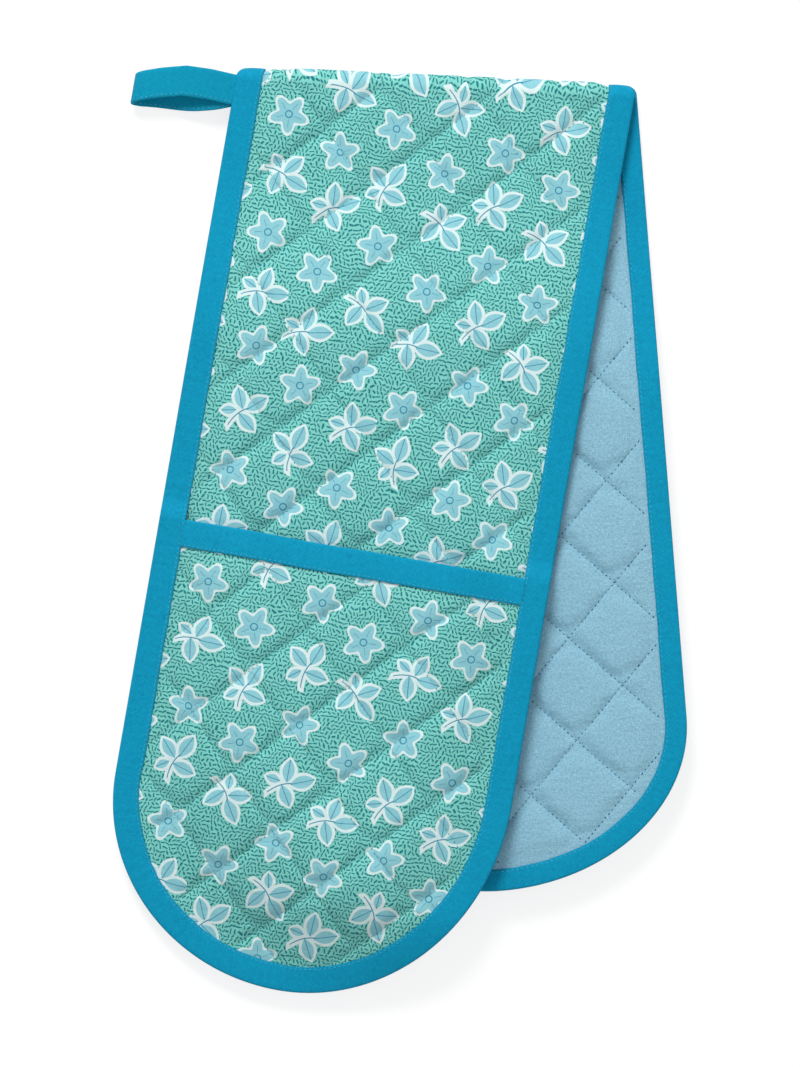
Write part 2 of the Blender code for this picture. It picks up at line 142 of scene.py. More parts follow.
# Where the quilt and the tape over the fold would start and end a turn with the hinge: a height and a run
# for each, meant to keep cloth bunched up by an open hinge under the lining. Two places are worked out from
# them below and nothing is turned with them
QUILT_BLEND = (HINGE_Z - 0.0026, 0.0047)
TAPE_BLEND = (HINGE_Z - 0.0017, 0.0028)
BLEND_SLANT = 0.1

# Stitches: period, length, width, and how far they stand out and their ends go in
EDGE_STITCH = (0.0023, 0.0014, 0.00046, 0.00012, 0.0002)
QUILT_STITCH = (0.0024, 0.0014, 0.00056, 0.00012, 0.00025)
EDGE_STITCH_INSET = 0.0010
STITCH_CLEARANCE = 0.0006

# The loop: how far its two legs lie further towards the fold, at places along its reach
LOOP_SEWN_OUT = -0.0030
LOOP_PLACES = (0.0, 0.25, 0.5, 0.75, 1.0)
UPPER_LIFT = (0.0030, 0.0050, 0.0061, 0.0046, 0.0022)
LOWER_LIFT = (0.0020, 0.0022, 0.0016, 0.0010, 0.0004)

UV_PER_METRE = 10.0


def ease(share):
    share = np.clip(share, 0.0, 1.0)
    return share * share * (3 - 2 * share)


def rough(points, size, seed):
    """Smooth noise from -1 to 1 at points of the flat strip, with features of the given size."""
    return np.array([noise.noise(Vector((a / size, b / size, seed))) for a, b in points])


def past_fold(u, s):
    return s * COS_LEAN - u * SIN_LEAN


def on_cut(u, past):
    return (past + u * SIN_LEAN) / COS_LEAN


def sizes_of(s):
    front = np.asarray(s) < 0
    return (
        np.where(front, FRONT_LENGTH, REAR_LENGTH),
        np.where(front, FRONT_TIP_LEFT, REAR_TIP_LEFT),
        np.where(front, FRONT_TIP_RIGHT, REAR_TIP_RIGHT),
    )


def from_rim(u, s):
    """The distance in from the strip's outline, negative outside it."""
    length, left, right = sizes_of(s)
    reach = np.where(u < 0, left, right)
    along = np.abs(s) - (length - reach)
    ring = np.maximum(np.hypot(u / HALF_WIDTH, along / reach), 1e-6)
    return np.where(along <= 0, HALF_WIDTH - np.abs(u), np.hypot(u, along) * (1 / ring - 1))


def outside_rear(x, out):
    past = out + BEND_HALF
    u = x * COS_LEAN - past * SIN_LEAN
    s = x * SIN_LEAN + past * COS_LEAN
    return -from_rim(u, np.maximum(s, 1e-6))


def place(u, s, height):
    """Points of the flat strip in space; height counts from its middle layer to the printed side."""
    u = np.asarray(u, float)
    s = np.asarray(s, float)
    height = np.broadcast_to(np.asarray(height, float), u.shape)
    past = past_fold(u, s)
    turn = np.clip(past, -BEND_HALF, BEND_HALF) / FOLD_RADIUS
    below = np.minimum((FOLD_RADIUS + FLAT_HALF + BOUND) * (1 - np.cos(turn)) / CORNER_ROUND, 1.0)
    beside = ease((np.abs(u) - HALF_WIDTH + CORNER_REACH) / CORNER_REACH)
    drawn_in = CORNER_ROUND * (1 - np.sqrt(1 - (1 - below) ** 2)) * beside
    x = (u - np.sign(u) * drawn_in) * COS_LEAN + s * SIN_LEAN
    front = past < -BEND_HALF
    rear = past > BEND_HALF
    out = np.abs(past) - BEND_HALF
    level_f = FRONT_LOW + (FRONT_HIGH - FRONT_LOW) * ease((out - FRONT_RAMP_START) / FRONT_RAMP_RUN)
    hang = ease((outside_rear(x, out) - DROOP_MARGIN) / DROOP_RUN)
    level_f = level_f - (level_f - DROOP_LOW) * hang
    level_r = REAR_LOW + (REAR_HIGH - REAR_LOW) * ease((out - REAR_RAMP_START) / REAR_RAMP_RUN)
    radius = FOLD_RADIUS + height
    y = np.where(front | rear, HINGE_Y - out, HINGE_Y + radius * np.cos(turn))
    z = np.where(front, level_f + height, np.where(rear, level_r - height, HINGE_Z - radius * np.sin(turn)))
    return np.stack([x - MIDDLE_X, y, np.maximum(z, TABLE_GAP)], axis=1)


# The quilting: stitched lines lie where a or b is even
ROWS_S = np.linspace(-0.47, 0.42, 6000)
STRETCH_START = 0.04
STRETCH_RUN = 0.15
STRETCH_ROWS = 0.4407


def stretch(s):
    """From 0 to 1 as the quilting passes the fold, where it stretches and moves aside a little."""
    return ease((s + STRETCH_START) / STRETCH_RUN)


def rows(s):
    """Rows of the strip's quilting."""
    return (s + FRONT_QUILT_AT) / QUILT_ALONG - STRETCH_ROWS * stretch(s)


def sideways(s):
    return -REAR_QUILT_SIDEWAYS * stretch(s)


ROWS = rows(ROWS_S)


def strip_ab(u, s):
    across = (u - sideways(s)) / QUILT_ACROSS
    return across + rows(s), across - rows(s)


def strip_us(a, b):
    s = np.interp((a - b) / 2, ROWS, ROWS_S)
    return (a + b) / 2 * QUILT_ACROSS + sideways(s), s


def from_line(value):
    """0 on a stitched line, 1 halfway between two."""
    return 1 - np.abs(2 * ((value / 2) % 1) - 1)


def pillow(tight, slack):
    """The stuffed height between the tightly and the slackly sewn lines, and the nearness to each."""
    one, other = from_line(tight), from_line(slack)

    def bulge(x):
        return (1 - (1 - x) ** BULGE_SPREAD) ** BULGE_ROUND

    return bulge(one) * (WEAK_SHARE + (1 - WEAK_SHARE) * bulge(other)), one, other


def inside_tape(u, s):
    """0 by the edge tape, rising to 1 further in."""
    return ease((from_rim(u, s) - FLAT_BY_TAPE) / TAPE_RISE_RUN)


def strip_heights(u, s):
    """How far the strip's printed and plain faces may rise over the stitched cloth, and their form."""
    a, b = strip_ab(u, s)
    out = np.abs(past_fold(u, s)) - BEND_HALF
    base = PUFF_RISE * inside_tape(u, s)
    outer = base * (OUTER_SHARE + (1 - OUTER_SHARE) * ease(out / OUTER_RISE_RUN))
    inner = base * ease(out / INNER_RISE_RUN)
    return outer, inner, *pillow(b, a)


def pocket_layout(sign, mouth):
    """A pocket's map from its stitched lines to the flat cloth, and how far its faces may rise."""

    def to_us(a, b):
        u = (a + b) / 2 * QUILT_ACROSS + POCKET_QUILT_SIDEWAYS
        return u, sign * (mouth + POCKET_QUILT_AT + (a - b) / 2 * QUILT_ALONG)

    def heights(u, s):
        across = (u - POCKET_QUILT_SIDEWAYS) / QUILT_ACROSS
        along = (np.abs(s) - mouth - POCKET_QUILT_AT) / QUILT_ALONG
        by_mouth = ease((np.abs(s) - mouth - FLAT_BY_MOUTH) / MOUTH_RISE_RUN)
        base = PUFF_RISE * inside_tape(u, s) * by_mouth
        return base, base, *pillow(across + along, across - along)

    return to_us, heights


def on_strip(from_edge, low, high):
    """Picks the points of the strip inside its edge and between two places past the fold."""
    return lambda u, s: (from_rim(u, s) > from_edge) & (past_fold(u, s) > low) & (past_fold(u, s) < high)


def on_pocket(sign, from_edge, from_end):
    return lambda u, s: (from_rim(u, s) > from_edge) & (sign * s > from_end)


def fold_fill(u, s):
    """How far the printed face stands out evenly over the fold."""
    return FOLD_FILL * inside_tape(u, s) * np.exp(-((past_fold(u, s) / FOLD_FILL_REACH) ** 2))


def fold_tuck(u, s):
    """How far the plain face is drawn back inside the fold."""
    turn = np.clip(past_fold(u, s) / FOLD_RADIUS, -math.pi / 2, math.pi / 2)
    return FOLD_TUCK * np.cos(turn)


def groove(most, one, other):
    """How far the thread pulls the cloth in at the stitched lines."""
    tight, slack = np.exp(-((one / TIGHT_GROOVE) ** 2)), np.exp(-((other / SLACK_GROOVE) ** 2))
    pull = np.maximum(tight, SLACK_SINK * slack)
    return SINK * pull * most / PUFF_RISE


def pocket_level(u, s):
    return RIM_LIFT + (POCKET_LIFT - RIM_LIFT) * ease((from_rim(u, s) - RIM_FLAT) / DOME_RUN)


# Materials
def linear(r, g, b):
    """An sRGB colour from 0 to 255 as linear values."""
    shares = (r / 255, g / 255, b / 255)
    return tuple(c / 12.92 if c <= 0.04045 else ((c + 0.055) / 1.055) ** 2.4 for c in shares)


class Nodes:
    """Short forms for building a node tree."""

    def __init__(self, name):
        self.material = bpy.data.materials.new(name)
        self.material.use_nodes = True
        self.tree = self.material.node_tree
        self.shader = self.tree.nodes["Principled BSDF"]

    def put(self, node, name, value):
        if isinstance(value, bpy.types.NodeSocket):
            self.tree.links.new(value, node.inputs[name])
        else:
            node.inputs[name].default_value = value

    def math(self, op, *values, clamp=False):
        node = self.tree.nodes.new("ShaderNodeMath")
        node.operation = op
        node.use_clamp = clamp
        for i, value in enumerate(values):
            self.put(node, i, value)
        return node.outputs[0]

    def add(self, a, b):
        return self.math("ADD", a, b)

    def sub(self, a, b):
        return self.math("SUBTRACT", a, b)

    def mul(self, a, b):
        return self.math("MULTIPLY", a, b)

    def fit(self, value, gain, start, clamp=False):
        """The value times the gain, plus the start."""
        return self.math("MULTIPLY_ADD", value, gain, start, clamp=clamp)

    def floor(self, value):
        return self.math("FLOOR", value)

    def odd(self, number):
        """1 for an odd whole number and 0 for an even one."""
        return self.math("PINGPONG", number, 1.0)

    def size(self, value):
        return self.math("ABSOLUTE", value)

    def least(self, a, b):
        return self.math("MINIMUM", a, b)

    def most(self, a, b):
        return self.math("MAXIMUM", a, b)

    def length(self, x, y):
        return self.math("SQRT", self.add(self.mul(x, x), self.mul(y, y)))

    def turned(self, x, y, angle):
        """A place in axes that are turned by the angle."""
        c, s = self.math("COSINE", angle), self.math("SINE", angle)
        return self.add(self.mul(x, c), self.mul(y, s)), self.sub(self.mul(y, c), self.mul(x, s))

    def parts(self, colour):
        split = self.tree.nodes.new("ShaderNodeSeparateColor")
        self.put(split, 0, colour)
        return split.outputs

    def inside(self, edge, soft):
        """1 where the distance to an edge is negative, 0 where it is positive."""
        return self.math("SUBTRACT", 0.5, self.mul(edge, 1 / soft), clamp=True)

    def mix(self, share, a, b, blend="MIX"):
        node = self.tree.nodes.new("ShaderNodeMix")
        node.data_type = "RGBA"
        node.blend_type = blend
        self.put(node, 0, share)
        for socket, value in ((6, a), (7, b)):
            self.put(node, socket, (*value, 1.0) if isinstance(value, tuple) else value)
        return node.outputs[2]

    def noise(self, vector, scale, detail=2.0, rough_share=0.5):
        node = self.tree.nodes.new("ShaderNodeTexNoise")
        self.put(node, "Vector", vector)
        self.put(node, "Scale", scale)
        self.put(node, "Detail", detail)
        self.put(node, "Roughness", rough_share)
        return node.outputs["Fac"]

    def vector(self, x, y, z=0.0):
        node = self.tree.nodes.new("ShaderNodeCombineXYZ")
        for i, value in enumerate((x, y, z)):
            self.put(node, i, value)
        return node.outputs[0]

    def flat_mm(self):
        """Places on the flat cloth, in millimetres across and along it."""
        uv = self.tree.nodes.new("ShaderNodeUVMap")
        uv.uv_map = "flat"
        split = self.tree.nodes.new("ShaderNodeSeparateXYZ")
        self.put(split, 0, uv.outputs[0])
        mm_per_uv = 1000.0 / UV_PER_METRE
        return self.mul(split.outputs[0], mm_per_uv), self.mul(split.outputs[1], mm_per_uv)

    def bump(self, height, distance, strength, before=None):
        node = self.tree.nodes.new("ShaderNodeBump")
        self.put(node, "Strength", strength)
        self.put(node, "Distance", distance)
        self.put(node, "Height", height)
        if before is not None:
            self.put(node, "Normal", before)
        return node.outputs[0]

    def finish(self, colour, roughness, normal, sheen=0.04, gloss=0.18):
        self.put(self.shader, "Base Color", colour)
        self.put(self.shader, "Roughness", roughness)
        self.put(self.shader, "Sheen Weight", sheen)
        self.put(self.shader, "Sheen Roughness", 0.5)
        self.put(self.shader, "Specular IOR Level", gloss)
        self.put(self.shader, "Normal", normal)
        return self.material


def weave(n, u, v, pitch, run=0.3):
    """A plain weave's height from 0 to 1, over and under in turn, with uneven yarns."""
    k = 2 * math.pi / pitch
    warp = n.noise(n.vector(n.mul(u, 1 / pitch), n.mul(v, run)), 1.0, 1.0)
    weft = n.noise(n.vector(n.mul(u, run), n.mul(v, 1 / pitch)), 1.0, 1.0)
    grid = n.mul(n.math("SINE", n.mul(u, k)), n.math("SINE", n.mul(v, k)))
    yarns = n.add(warp, weft)
    return n.fit(grid, 0.25, n.mul(yarns, 0.5)), yarns


def uneven(n, yarns, flecks, contrast, middle):
    """The share of a cloth's lighter colour, from its yarns and from flecks."""
    centred = n.sub(n.mul(n.add(yarns, flecks), 0.6667), 1.0)
    return n.fit(centred, contrast, middle, clamp=True)


def lining_cloth():
    n = Nodes("lining_cotton")
    u, v = n.flat_mm()
    height, yarns = weave(n, u, v, 0.55, 0.7)
    flecks = n.noise(n.vector(u, v), 3.4, 2.0, 0.6)
    colour = n.mix(uneven(n, yarns, flecks, 2.2, 0.5), linear(112, 164, 187), linear(158, 202, 219))
    patches = n.noise(n.vector(u, v), 0.05, 3.0)
    colour = n.mix(n.mul(patches, 0.25), colour, linear(140, 187, 206))
    small = n.noise(n.vector(n.mul(u, 0.09), n.mul(v, 0.33)), 1.0, 3.0, 0.6)
    normal = n.bump(small, 0.0009, 0.55)
    normal = n.bump(height, 0.00012, 0.55, normal)
    return n.finish(colour, n.fit(yarns, 0.1, 0.75), normal)


def tape_cloth(name, low, high):
    n = Nodes(name)
    u, v = n.flat_mm()
    slant = n.mul(n.add(u, v), 0.7071)
    other = n.mul(n.sub(u, v), 0.7071)
    height, yarns = weave(n, slant, other, 0.5)
    flecks = n.noise(n.vector(n.mul(slant, 2.8), n.mul(other, 0.7)), 1.0, 2.0, 0.6)
    colour = n.mix(uneven(n, yarns, flecks, 1.5, 0.45), low, high)
    worn = n.noise(n.vector(u, v), 0.04, 1.0)
    colour = n.mix(n.mul(worn, 0.35), colour, high)
    pucker = n.noise(n.vector(n.mul(u, 0.12), n.mul(v, 0.34)), 1.0, 2.0)
    normal = n.bump(pucker, 0.0008, 0.45)
    normal = n.bump(height, 0.0001, 0.5, normal)
    return n.finish(colour, n.fit(yarns, 0.1, 0.72), normal, 0.02, 0.1)


def thread_cloth(name, low, high):
    n = Nodes(name)
    u, v = n.flat_mm()
    share = n.noise(n.vector(u, v), 0.9, 1.0)
    twist = n.math("SINE", n.mul(n.add(u, v), 14.0))
    normal = n.bump(twist, 0.00005, 0.4)
    return n.finish(n.mix(share, low, high), 0.7, normal)


def leaf_edge(n, x, y, turn, at, half_length, half_width):
    """Distance-like value of a pointed leaf along its own line, and the places across that line."""
    along, across = n.turned(n.sub(x, at[0]), n.sub(y, at[1]), turn)
    share = n.mul(along, 1 / half_length)
    width = n.fit(n.mul(share, share), -half_width, half_width)
    return n.sub(n.size(across), width), across


def printed_cloth():
    """A scattered print: five-petalled flowers and four-leaved twigs on a ground of short dashes."""
    n = Nodes("printed_cotton")
    u, v = n.flat_mm()
    wide, tall = 25.0, 27.5
    column = n.floor(n.mul(u, 1 / wide))
    v_drop = n.fit(n.odd(column), tall / 2, v)
    row = n.floor(n.mul(v_drop, 1 / tall))
    pick = n.tree.nodes.new("ShaderNodeTexWhiteNoise")
    pick.noise_dimensions = "3D"
    n.put(pick, "Vector", n.vector(column, row, 4.0))
    drawn = n.parts(pick.outputs["Color"])

    def from_middle(at, number, size, pick):
        """A place counted from the middle of its cell, which is moved by up to 2 mm."""
        return n.sub(n.sub(at, n.mul(n.add(number, 0.5), size)), n.fit(pick, 4.0, -2.0))

    x = from_middle(u, column, wide, drawn[0])
    y = from_middle(v_drop, row, tall, drawn[1])
    turn = n.fit(drawn[2], 2.6, -1.3)
    px, py = n.turned(x, y, turn)
    flower_cell = n.odd(n.add(row, column))

    # The flower, round the cell's middle
    r = n.length(px, py)
    angle = n.math("ARCTAN2", py, px)
    petals = n.fit(n.math("COSINE", n.mul(angle, 5.0)), 1.9, 6.6)
    flower = n.sub(r, petals)
    ray = n.sub(n.size(n.mul(n.math("SINE", n.mul(angle, 2.5)), r)), 0.24)
    vein_ring = n.most(ray, n.sub(n.size(n.sub(r, 4.2)), 1.7))
    heart = n.sub(n.size(n.sub(r, 1.5)), 0.26)
    flower_line = n.least(vein_ring, heart)

    # The twig: four leaves and a stem
    shapes = [
        leaf_edge(n, px, py, 0.15, (6.2, 0.4), 5.8, 3.0),
        leaf_edge(n, px, py, 1.35, (0.2, 5.6), 5.4, 2.8),
        leaf_edge(n, px, py, -1.25, (-1.6, -5.4), 5.4, 2.8),
        leaf_edge(n, px, py, 2.75, (-6.8, 2.6), 3.6, 2.0),
    ]
    twig = shapes[0][0]
    for shape in shapes[1:]:
        twig = n.least(twig, shape[0])
    rib = None
    for edge, across in shapes:
        line = n.most(n.sub(n.size(across), 0.17), n.add(edge, 0.35))
        rib = line if rib is None else n.least(rib, line)
    bow = n.fit(n.mul(px, px), 0.035, py)
    stem_end = n.sub(n.size(n.add(px, 4.2)), 5.6)
    stem = n.most(n.sub(n.size(bow), 0.25), stem_end)
    twig_line = n.least(rib, stem)
    twig_halo = n.least(twig, n.sub(stem, 0.3))

    def choose(one, other):
        return n.add(n.mul(one, n.sub(1.0, flower_cell)), n.mul(other, flower_cell))

    shape = choose(flower, twig)
    halo = choose(flower, twig_halo)
    line = choose(flower_line, twig_line)

    # The ground's dashes, each turned its own way
    cell = 1.9
    drift = n.tree.nodes.new("ShaderNodeTexNoise")
    n.put(drift, "Vector", n.vector(u, v))
    n.put(drift, "Scale", 0.10)
    spread = n.parts(drift.outputs["Color"])
    gx = n.mul(n.fit(spread[0], 5.0, u), 1 / cell)
    gy = n.mul(n.fit(spread[1], 5.0, v), 1 / cell)
    shift = n.mul(n.odd(n.floor(gy)), 0.5)
    gx = n.add(gx, shift)
    at = n.vector(n.floor(gx), n.floor(gy), 9.0)
    turn_pick = n.tree.nodes.new("ShaderNodeTexWhiteNoise")
    turn_pick.noise_dimensions = "3D"
    n.put(turn_pick, "Vector", at)
    way = n.mul(turn_pick.outputs["Value"], math.pi)
    dx = n.mul(n.sub(n.math("FRACT", gx), 0.5), cell)
    dy = n.mul(n.sub(n.math("FRACT", gy), 0.5), cell)
    along, across = n.turned(dx, dy, way)
    half_length, half_width = 0.60, 0.33
    dash = n.sub(n.length(n.most(n.sub(n.size(along), half_length), 0.0), across), half_width)

    mottle = n.noise(n.vector(u, v), 0.5, 3.0)
    ground = n.mix(mottle, linear(102, 188, 178), linear(140, 213, 206))
    colour = n.mix(n.inside(dash, 0.18), ground, linear(16, 118, 122))
    colour = n.mix(n.inside(n.sub(halo, 1.25), 0.2), colour, linear(210, 229, 229))
    colour = n.mix(n.inside(n.add(shape, 0.15), 0.2), colour, linear(136, 196, 206))
    colour = n.mix(n.mul(n.inside(line, 0.16), n.inside(n.sub(halo, 1.1), 0.2)), colour, linear(38, 132, 160))
    height, yarns = weave(n, u, v, 0.5)
    lit = n.mix(n.mul(yarns, 0.5), (0.1, 0.1, 0.1), (0.9, 0.9, 0.9))
    colour = n.mix(0.5, colour, lit, "SOFT_LIGHT")
    small = n.noise(n.vector(n.mul(u, 0.10), n.mul(v, 0.30)), 1.0, 3.0, 0.6)
    normal = n.bump(small, 0.0009, 0.5)
    normal = n.bump(height, 0.0001, 0.5, normal)
    return n.finish(colour, n.fit(yarns, 0.1, 0.75), normal)


PRINT = printed_cloth()
LINING = lining_cloth()
BINDING = tape_cloth("edge_binding", linear(0, 122, 158), linear(14, 158, 196))
BAND = tape_cloth("mouth_binding", linear(0, 124, 162), linear(16, 162, 200))
RIBBON = tape_cloth("loop_tape", linear(0, 124, 158), linear(12, 158, 190))
EDGE_THREAD = thread_cloth("edge_thread", linear(44, 158, 190), linear(90, 188, 214))
QUILT_THREAD = thread_cloth("quilt_thread", linear(22, 76, 108), linear(48, 104, 134))
PRINT_THREAD = thread_cloth("print_thread", linear(60, 146, 150), linear(112, 182, 182))


def linked(name, data):
    made = bpy.data.objects.new(name, data)
    bpy.context.scene.collection.objects.link(made)
    return made


def new_object(name, points, faces, flat, materials, kinds=None):
    """A mesh object with its places on the flat cloth as a UV map."""
    mesh = bpy.data.meshes.new(name)
    mesh.from_pydata([tuple(p) for p in points], [], [tuple(f) for f in faces])
    for kind in materials:
        mesh.materials.append(kind)
    if kinds is not None:
        mesh.polygons.foreach_set("material_index", np.asarray(kinds, dtype=np.int32))
    corner = np.empty(len(mesh.loops), dtype=np.int32)
    mesh.loops.foreach_get("vertex_index", corner)
    layer = mesh.uv_layers.new(name="flat")
    layer.data.foreach_set("uv", (np.asarray(flat, float)[corner] * UV_PER_METRE).ravel())
    mesh.shade_smooth()
    mesh.validate()
    return linked(name, mesh)


def turned_out(obj):
    """Turns the closed mesh's faces outwards."""
    body = bmesh.new()
    body.from_mesh(obj.data)
    bmesh.ops.recalc_face_normals(body, faces=body.faces)
    if body.calc_volume(signed=True) < 0:
        bmesh.ops.reverse_faces(body, faces=body.faces)
    body.to_mesh(obj.data)
    body.free()
    return obj


def walked(line):
    """The way walked along a line of points, up to each of them."""
    return np.concatenate([[0], np.cumsum(np.linalg.norm(np.diff(line, axis=0), axis=1))])


def tube_faces(count, size):
    """The faces of a closed tube of rings with the given number of points."""
    faces = []
    for i in range(count - 1):
        for j in range(size):
            k = (j + 1) % size
            faces.append((i * size + j, i * size + k, (i + 1) * size + k, (i + 1) * size + j))
    faces.append(tuple(range(size - 1, -1, -1)))
    faces.append(tuple((count - 1) * size + j for j in range(size)))
    return faces


# Places of the grid's lines from one stitched line to the next, closer by the thread
STEPS = np.array([0.0, 0.045, 0.115, 0.205, 0.32, 0.46, 0.62, 0.80])
CELL = np.concatenate([STEPS, [1.0], 2 - STEPS[:0:-1]])
LAST_LINE = 34


def flat_grid(to_us, keep, cut=None, bends=()):
    """A grid over the flat cloth that follows the stitched lines: places and faces."""
    ticks = np.concatenate([line + CELL for line in range(-LAST_LINE, LAST_LINE, 2)])
    a, b = np.meshgrid(ticks, ticks, indexing="ij")
    u, s = to_us(a.ravel(), b.ravel())
    inside = keep(u, s).reshape(a.shape)
    number = np.arange(a.size).reshape(a.shape)
    full = inside[:-1, :-1] & inside[1:, :-1] & inside[:-1, 1:] & inside[1:, 1:]
    quads = np.stack([number[:-1, :-1], number[1:, :-1], number[1:, 1:], number[:-1, 1:]], axis=-1)[full]
    used, faces = np.unique(quads, return_inverse=True)
    body = bmesh.new()
    corners = [body.verts.new((u[i], s[i], 0.0)) for i in used]
    for face in faces.reshape(-1, 4):
        body.faces.new([corners[i] for i in face])
    if cut:
        whole = list(body.verts) + list(body.edges) + list(body.faces)
        at, way = cut
        bmesh.ops.bisect_plane(body, geom=whole, dist=1e-7, plane_co=at, plane_no=way, clear_outer=True)
        for past in bends:
            whole = list(body.verts) + list(body.edges) + list(body.faces)
            line = (0.0, past / COS_LEAN, 0.0)
            bmesh.ops.bisect_plane(body, geom=whole, dist=1e-5, plane_co=line, plane_no=way)
    body.verts.index_update()
    flat = np.array([vert.co[:2] for vert in body.verts])
    faces = [[vert.index for vert in face.verts] for face in body.faces]
    rim = [
        (loop.vert.index, loop.link_loop_next.vert.index)
        for face in body.faces
        for loop in face.loops
        if loop.edge.is_boundary
    ]
    body.free()
    return flat, faces, rim


CLOTH_SCALE = 10.0
CLOTH_FRAMES = 14
CLOTH_APART = 0.4


def settled(sheets):
    """Blows the cloth up between its stitched lines with Blender's cloth, and reads the sheets back."""
    points, faces, held = [], [], []
    for i, (flat, heights, sheet_faces, pinned) in enumerate(sheets):
        first = len(points)
        lift = np.column_stack([flat[:, 0] + CLOTH_APART * i, flat[:, 1], heights]) * CLOTH_SCALE
        points += [tuple(point) for point in lift]
        one, two, three = (flat[corner] for corner in sheet_faces[0][:3])
        order = 1 if np.cross(two - one, three - one) > 0 else -1
        faces += [[first + corner for corner in face[::order]] for face in sheet_faces]
        held += [first + int(k) for k in np.flatnonzero(pinned)]
    mesh = bpy.data.meshes.new("cloth_at_work")
    mesh.from_pydata(points, [], faces)
    worked = linked("cloth_at_work", mesh)
    group = worked.vertex_groups.new(name="held")
    group.add(held, 1.0, "REPLACE")
    cloth = worked.modifiers.new("cloth", "CLOTH")
    settings = cloth.settings
    settings.quality = 4
    settings.mass = 0.25
    settings.air_damping = 3.0
    settings.tension_stiffness = 18.0
    settings.compression_stiffness = 18.0
    settings.shear_stiffness = 8.0
    settings.bending_stiffness = 0.02
    settings.use_pressure = True
    settings.uniform_pressure_force = 2.2
    settings.shrink_min = -0.035
    settings.vertex_group_mass = "held"
    settings.effector_weights.gravity = 0.0
    cloth.collision_settings.use_collision = False
    cloth.point_cache.frame_start = 1
    cloth.point_cache.frame_end = CLOTH_FRAMES
    for number in range(1, CLOTH_FRAMES + 1):
        bpy.context.scene.frame_set(number)
    shaped = worked.evaluated_get(bpy.context.evaluated_depsgraph_get())
    found = np.empty(len(points) * 3)
    shaped.data.vertices.foreach_get("co", found)
    found = found.reshape(-1, 3) / CLOTH_SCALE
    bpy.context.scene.frame_set(1)
    bpy.data.objects.remove(worked)
    bpy.data.meshes.remove(mesh)
    results, first = [], 0
    for i, sheet in enumerate(sheets):
        results.append(found[first:first + len(sheet[0])] - np.array([CLOTH_APART * i, 0.0, 0.0]))
        first += len(sheet[0])
    return results


def soft_cap(rise, most):
    """Lets a rise grow freely while it is small, and never past the most it may be."""
    most = np.maximum(most, 1e-7)
    return most * np.tanh(np.maximum(rise, 0.0) / most)


def quilts(wanted):
    """The quilted layers as closed padded bodies, printed on one side and plain on the other."""
    sheets, facts = [], []
    for name, (flat, faces, rim), level, heights in wanted:
        u, s = flat[:, 0], flat[:, 1]
        outer, inner, puff, one, other = heights(u, s)
        for most in (outer, inner):
            # Held at the stitched lines and where the cloth lies flat
            pinned = (np.minimum(one, other) < 0.02) | (most < PUFF_RISE * 0.02)
            sheets.append((flat, most * puff * START_RISE, faces, pinned))
        facts.append((name, flat, faces, rim, level, outer, inner, one, other))
    shaped = settled(sheets)
    made = []
    for i, (name, flat, faces, rim, level, outer, inner, one, other) in enumerate(facts):
        layers = []
        for sheet, most, side in ((shaped[2 * i], outer, 1), (shaped[2 * i + 1], inner, -1)):
            shift = np.clip(sheet[:, :2] - flat, -MOST_SHIFT, MOST_SHIFT) * (most / PUFF_RISE)[:, None]
            u, s = (flat + shift).T
            height = FLAT_HALF - groove(most, one, other) + soft_cap(sheet[:, 2], most)
            height = height + (fold_fill(u, s) if side > 0 else -fold_tuck(u, s))
            layers.append(place(u, s, level(u, s) + side * height))
        count = len(flat)
        under = [[k + count for k in reversed(face)] for face in faces]
        sides = [[b, a, a + count, b + count] for a, b in rim]
        kinds = [0] * len(faces) + [1] * (len(under) + len(sides))
        points = np.concatenate(layers)
        twice = np.concatenate([flat, flat])
        quilt = new_object(name, points, faces + under + sides, twice, [PRINT, LINING], kinds)
        made.append(turned_out(quilt))
    return made


def zero(u, s):
    return np.zeros(len(u))


# The front half with the fold, up to the end of the bend
CUT_AT = (0.0, BEND_HALF / COS_LEAN, 0.0)
BEND_LINES = np.linspace(-0.0066, 0.0044, 12)
on_front = on_strip(QUILT_INSET, -math.inf, BEND_HALF + CUT_OVERLAP)
on_rear = on_strip(QUILT_INSET, BEND_HALF - CUT_OVERLAP, math.inf)
front_grid = flat_grid(strip_us, on_front, (CUT_AT, (-SIN_LEAN, COS_LEAN, 0.0)), BEND_LINES)
rear_grid = flat_grid(strip_us, on_rear, (CUT_AT, (SIN_LEAN, -COS_LEAN, 0.0)))
wanted = [
    ("front_quilting", front_grid, zero, strip_heights),
    ("rear_quilting", rear_grid, zero, strip_heights),
]
pockets = {
    name: (sign, mouth, *pocket_layout(sign, mouth))
    for name, sign, mouth in (("front", -1, FRONT_MOUTH), ("rear", 1, REAR_MOUTH))
}
for name, (sign, mouth, to_us, heights) in pockets.items():
    grid = flat_grid(to_us, on_pocket(sign, QUILT_INSET, mouth + QUILT_INSET))
    wanted.append((name + "_pocket_quilting", grid, pocket_level, heights))
front_quilt, rear_quilt, front_pocket, rear_pocket = quilts(wanted)


